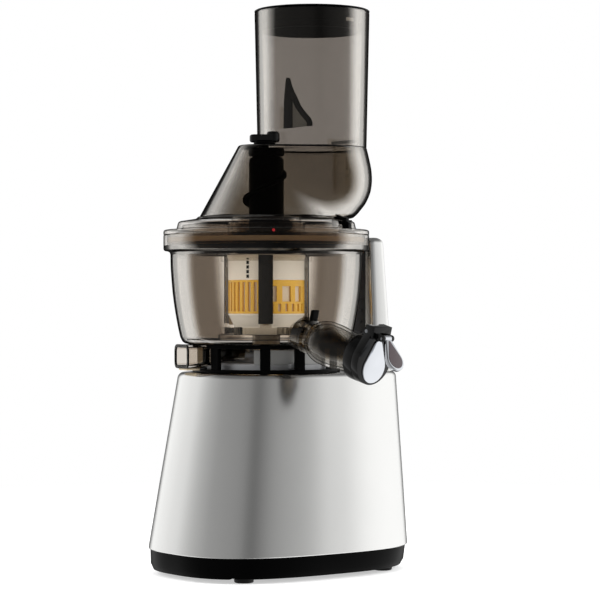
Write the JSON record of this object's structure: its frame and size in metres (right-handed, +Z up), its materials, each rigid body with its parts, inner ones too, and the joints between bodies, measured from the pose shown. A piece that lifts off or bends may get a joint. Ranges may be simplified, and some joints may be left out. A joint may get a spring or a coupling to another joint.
{
  "type": "cold press juicer",
  "caption": "Upright slow juicer: silver motor base with handle column, smoked bowl with strainer, brush and auger, capped juice spout, and lid with wide offset feed tube.",
  "frame": {"origin": "on the table, at the middle of the whole outline seen from above", "axes": "+Z up, -Y to the front with the juice spout, +X towards the handle column"},
  "size_m": [0.208, 0.2468, 0.448],
  "materials": {
    "alloy_case": "cast",
    "amber_polyetherimide": "clear gloss",
    "beige_plastic": "satin",
    "beige_silicone": "matte",
    "black_plastic": "gloss",
    "black_rubber": "matte",
    "chrome": "polished",
    "copper": "enamelled wire",
    "dark_plastic": "matte",
    "fan_plastic": "satin",
    "green_board": "matte",
    "grey_plastic": "satin",
    "red_dot": "gloss",
    "silver_paint": "satin",
    "smoked_plastic": "clear gloss",
    "steel": "satin",
    "white_acetal": "satin"
  },
  "bodies": {
    "base": {"base_housing": "silver_paint", "handle_column": "silver_paint", "column_grip": "dark_plastic", "top_deck": "black_plastic", "seat_hub": "grey_plastic", "bottom_cover": "black_plastic", "rubber_feet": "black_rubber", "motor_case": "steel", "motor_stator": "steel", "stator_windings": "copper", "shaft_bearings": "steel", "gearbox_case": "alloy_case", "gearbox_lid": "alloy_case", "counter_pin": "steel", "motor_dampers": "black_rubber", "control_board": "green_board", "run_capacitor": "alloy_case", "switch_bezel": "black_plastic", "cord_gland": "black_rubber", "case_screws": "steel", "lid_switch": "dark_plastic"},
    "rotor": {"motor_rotor": "steel", "cooling_fan": "fan_plastic", "motor_pinion": "white_acetal"},
    "counter": {"counter_gear": "white_acetal"},
    "output": {"output_gear": "white_acetal", "drive_shaft": "steel"},
    "rocker": {"power_rocker": "dark_plastic"},
    "bowl": {"juicing_bowl": "smoked_plastic", "bowl_foot": "black_plastic", "shaft_seal": "beige_silicone", "pulp_chute": "smoked_plastic", "pulp_plug": "beige_silicone", "juice_spout": "smoked_plastic", "spout_collar": "black_plastic", "cap_pin": "steel", "strainer_base_ring": "beige_plastic", "strainer_band": "amber_polyetherimide", "strainer_top_ring": "beige_plastic", "strainer_mesh": "steel"},
    "brush": {"brush_frame": "smoked_plastic", "brush_wipers": "beige_silicone"},
    "pinion_front": {"brush_pinion_front": "white_acetal"},
    "pinion_back": {"brush_pinion_back": "white_acetal"},
    "auger": {"auger": "black_plastic"},
    "cap": {"cap_flap": "black_plastic", "cap_plate": "chrome", "cap_seal": "beige_silicone", "lever_pin": "steel"},
    "lever": {"cap_lever": "chrome"},
    "lid": {"lid_housing": "smoked_plastic", "feed_tube": "smoked_plastic", "lid_gasket": "beige_silicone", "lid_clip": "black_plastic", "alignment_dot": "red_dot", "feed_fin": "black_plastic", "gate_pin": "steel"},
    "gate": {"flip_gate": "smoked_plastic"},
    "lock": {"gate_lock": "black_plastic"},
    "plug": {"chute_cap": "black_plastic"}
  },
  "joints": [
    {"name": "rotor_spin", "type": "hinge", "parent": "base", "child": "rotor", "pos_m": [-0.0125, 0.0419, 0], "axis": [0, 0, 1], "continuous": true},
    {"name": "counter_spin", "type": "hinge", "parent": "base", "child": "counter", "pos_m": [0.0211, 0.0419, 0], "axis": [0, 0, 1], "continuous": true},
    {"name": "drive_spin", "type": "hinge", "parent": "base", "child": "output", "pos_m": [-0.0125, 0.0419, 0], "axis": [0, 0, 1], "continuous": true},
    {"name": "rocker_tilt", "type": "hinge", "parent": "base", "child": "rocker", "pos_m": [0, 0.11143, 0.06584], "axis": [1, 0, 0], "range_deg": [-10, 10]},
    {"name": "bowl_lift", "type": "slide", "parent": "base", "child": "bowl", "axis": [0, 0, 1], "range_m": [0, 0.1]},
    {"name": "auger_spin", "type": "hinge", "parent": "bowl", "child": "auger", "pos_m": [-0.0125, 0.0419, 0], "axis": [0, 0, 1], "continuous": true},
    {"name": "brush_spin", "type": "hinge", "parent": "bowl", "child": "brush", "pos_m": [-0.0125, 0.0419, 0], "axis": [0, 0, 1], "continuous": true},
    {"name": "pinion_front_spin", "type": "hinge", "parent": "bowl", "child": "pinion_front", "pos_m": [-0.0125, 0.0159, 0], "axis": [0, 0, 1], "continuous": true},
    {"name": "pinion_back_spin", "type": "hinge", "parent": "bowl", "child": "pinion_back", "pos_m": [-0.0125, 0.0679, 0], "axis": [0, 0, 1], "continuous": true},
    {"name": "cap_swing", "type": "hinge", "parent": "bowl", "child": "cap", "pos_m": [-0.01546, -0.09862, 0.19233], "axis": [-0.9903, -0.1392, 0], "range_deg": [0, 95]},
    {"name": "lever_swing", "type": "hinge", "parent": "cap", "child": "lever", "pos_m": [-0.01379, -0.11047, 0.18674], "axis": [-0.9903, -0.1392, 0], "range_deg": [0, 60]},
    {"name": "lid_lift", "type": "slide", "parent": "bowl", "child": "lid", "axis": [0, 0, 1], "range_m": [0, 0.1]},
    {"name": "gate_swing", "type": "hinge", "parent": "lid", "child": "gate", "pos_m": [0.0676, 0.0419, 0.344], "axis": [0, 1, 0], "range_deg": [0, 85]},
    {"name": "lock_turn", "type": "hinge", "parent": "lid", "child": "lock", "pos_m": [-0.0215, 0.0319, 0.338], "axis": [0, 0, 1], "range_deg": [-90, 0]},
    {"name": "chute_cap_lift", "type": "slide", "parent": "lid", "child": "plug", "axis": [0, 0, 1], "range_m": [0, 0.03]}
  ],
  "couplings": [
    {"joint": "counter_spin", "follows": "rotor_spin", "ratio": -0.2},
    {"joint": "drive_spin", "follows": "rotor_spin", "ratio": 0.04},
    {"joint": "auger_spin", "follows": "rotor_spin", "ratio": 0.04},
    {"joint": "brush_spin", "follows": "rotor_spin", "ratio": -0.025},
    {"joint": "pinion_front_spin", "follows": "rotor_spin", "ratio": -0.13333},
    {"joint": "pinion_back_spin", "follows": "rotor_spin", "ratio": -0.13333}
  ]
}
